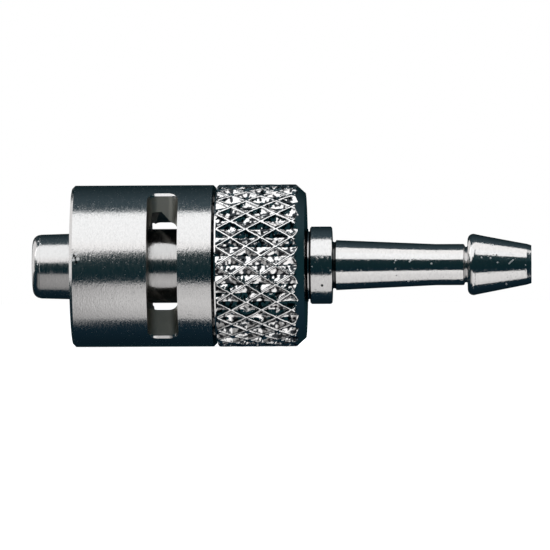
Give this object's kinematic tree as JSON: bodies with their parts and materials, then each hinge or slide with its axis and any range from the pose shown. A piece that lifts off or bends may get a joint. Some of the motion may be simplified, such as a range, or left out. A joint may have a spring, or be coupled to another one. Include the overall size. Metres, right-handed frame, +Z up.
{
  "type": "luer lock fitting",
  "caption": "Male luer lock to hose barb fitting in turned steel, with a free-turning knurled lock nut that has a window on either side.",
  "frame": {"origin": "centre of the luer cone's end face, on the fitting's axis", "axes": "+X along the axis from the luer cone to the hose barb, +Z up, the two windows face -Y and +Y"},
  "size_m": [0.0309, 0.01, 0.01],
  "materials": {
    "turned_steel_body": "fine turned, bright",
    "turned_steel_nipple": "fine turned, bright",
    "turned_steel_sleeve": "fine turned, bright",
    "knurled_steel": "diamond knurled, bright"
  },
  "bodies": {
    "stem": {"luer_body": "turned_steel_body", "hose_nipple": "turned_steel_nipple"},
    "lock_nut": {"lock_sleeve": "turned_steel_sleeve", "knurled_cap": "knurled_steel"}
  },
  "joints": [
    {"name": "nut_turn", "type": "hinge", "parent": "stem", "child": "lock_nut", "pos_m": [0.016, 0, 0], "axis": [1, 0, 0], "continuous": true}
  ]
}
